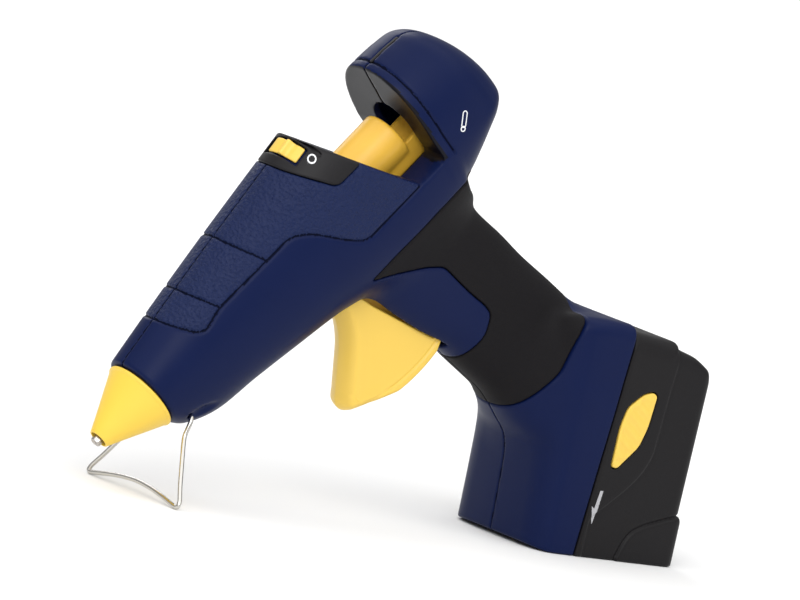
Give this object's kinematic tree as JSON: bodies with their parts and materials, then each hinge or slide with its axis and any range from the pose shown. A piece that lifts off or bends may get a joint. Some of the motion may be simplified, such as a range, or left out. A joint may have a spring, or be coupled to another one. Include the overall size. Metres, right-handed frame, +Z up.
{
  "type": "glue gun",
  "caption": "Cordless hot-melt glue gun: navy clamshell, rubber grip, yellow sector trigger and cone nozzle, folding wire stand, rear stick hood and slide-off battery pack.",
  "frame": {"origin": "middle of the bounding box, on the surface that the tool rests on", "axes": "+Z up, +X from the nozzle towards the battery base, +Y towards the tool's right-hand side; the barrel leans nose-down by 51.2 degrees, as the tool stands on its wire stand and battery foot"},
  "size_m": [0.2948, 0.0688, 0.2099],
  "materials": {
    "navy_shell": "satin navy moulded plastic, fine leather grain on the upper barrel panels",
    "rubber_grip": "fine matte black soft-touch rubber",
    "yellow_plastic": "satin yellow moulded plastic",
    "yellow_silicone": "smooth yellow heat-resistant silicone",
    "black_plastic": "satin black moulded plastic",
    "steel_wire": "bright zinc-plated steel",
    "nozzle_metal": "turned steel",
    "aluminium": "cast aluminium",
    "screw_steel": "dark steel",
    "brass": "brass contact",
    "circuit_board": "green solder mask",
    "silicone_sleeve": "red silicone",
    "ceramic": "glazed ceramic",
    "cell_wrap": "blue shrink wrap"
  },
  "bodies": {
    "gun_body": {"left_housing": "navy_shell", "right_housing": "navy_shell", "left_grip": "rubber_grip", "right_grip": "rubber_grip", "nozzle_cover": "yellow_silicone", "front_chamber_support": "black_plastic", "rear_chamber_support": "black_plastic", "switch_plate": "black_plastic", "slide_switch": "black_plastic", "stick_guide": "black_plastic", "seam_strip": "black_plastic", "battery_dock": "black_plastic", "terminal_block": "black_plastic", "nozzle": "nozzle_metal", "valve_ball": "nozzle_metal", "valve_spring": "nozzle_metal", "heater_clip": "nozzle_metal", "lever_pin": "nozzle_metal", "trigger_pin": "nozzle_metal", "trigger_spring": "nozzle_metal", "melt_chamber": "aluminium", "body_screw_1": "screw_steel", "body_screw_2": "screw_steel", "body_screw_3": "screw_steel", "body_screw_4": "screw_steel", "body_screw_5": "screw_steel", "body_screw_6": "screw_steel", "body_screw_7": "screw_steel", "body_screw_8": "screw_steel", "contact_blade_1": "brass", "contact_blade_2": "brass", "control_board": "circuit_board", "inlet_sleeve": "silicone_sleeve", "heater_element": "ceramic", "thermal_fuse": "ceramic"},
    "trigger": {"trigger": "yellow_plastic"},
    "carriage": {"stick_carriage": "yellow_plastic"},
    "jaw": {"stick_jaw": "nozzle_metal"},
    "feed_lever": {"feed_lever": "nozzle_metal"},
    "stand": {"wire_stand": "steel_wire"},
    "switch": {"power_slider": "yellow_plastic"},
    "battery_pack": {"pack_case": "black_plastic", "pack_lid": "black_plastic", "pack_board": "circuit_board", "left_release_spring": "nozzle_metal", "right_release_spring": "nozzle_metal", "battery_cell_1": "cell_wrap", "battery_cell_2": "cell_wrap", "battery_cell_3": "cell_wrap", "battery_cell_4": "cell_wrap", "battery_cell_5": "cell_wrap"},
    "left_button": {"left_release_button": "yellow_plastic"},
    "right_button": {"right_release_button": "yellow_plastic"}
  },
  "joints": [
    {"name": "trigger_pull", "type": "hinge", "parent": "gun_body", "child": "trigger", "pos_m": [-0.04854, 0, 0.10582], "axis": [0, -1, 0], "range_deg": [0, 18], "stiffness_Nm_per_rad": 0.6, "springref_deg": -20.05},
    {"name": "carriage_feed", "type": "slide", "parent": "gun_body", "child": "carriage", "axis": [-0.6266, 0, -0.7793], "range_m": [0, 0.0125]},
    {"name": "lever_swing", "type": "hinge", "parent": "gun_body", "child": "feed_lever", "pos_m": [-0.01961, 0, 0.12106], "axis": [0, -1, 0], "range_deg": [0, 40]},
    {"name": "jaw_tilt", "type": "hinge", "parent": "carriage", "child": "jaw", "pos_m": [-0.05258, 0, 0.11356], "axis": [0, -1, 0], "range_deg": [0, 6.2]},
    {"name": "stand_fold", "type": "hinge", "parent": "gun_body", "child": "stand", "pos_m": [-0.1084, 0, 0.03744], "axis": [0, -1, 0], "range_deg": [0, 130]},
    {"name": "power_switch", "type": "hinge", "parent": "gun_body", "child": "switch", "pos_m": [-0.06769, 0, 0.1456], "axis": [-0.4998, 0, -0.8661], "range_deg": [0, 12]},
    {"name": "pack_slide", "type": "slide", "parent": "gun_body", "child": "battery_pack", "axis": [0, 0, -1], "range_m": [0, 0.09]},
    {"name": "left_release", "type": "slide", "parent": "battery_pack", "child": "left_button", "axis": [0, 1, 0], "range_m": [0, 0.0025], "stiffness_N_per_m": 800, "springref_m": -0.002, "deforming": ["left_release_spring"]},
    {"name": "right_release", "type": "slide", "parent": "battery_pack", "child": "right_button", "axis": [0, -1, 0], "range_m": [0, 0.0025], "stiffness_N_per_m": 800, "springref_m": -0.002, "deforming": ["right_release_spring"]}
  ],
  "couplings": [
    {"joint": "carriage_feed", "follows": "trigger_pull", "m_per_rad": 0.0382},
    {"joint": "lever_swing", "follows": "trigger_pull", "ratio": 2.2},
    {"joint": "jaw_tilt", "follows": "trigger_pull", "ratio": 0.33}
  ]
}
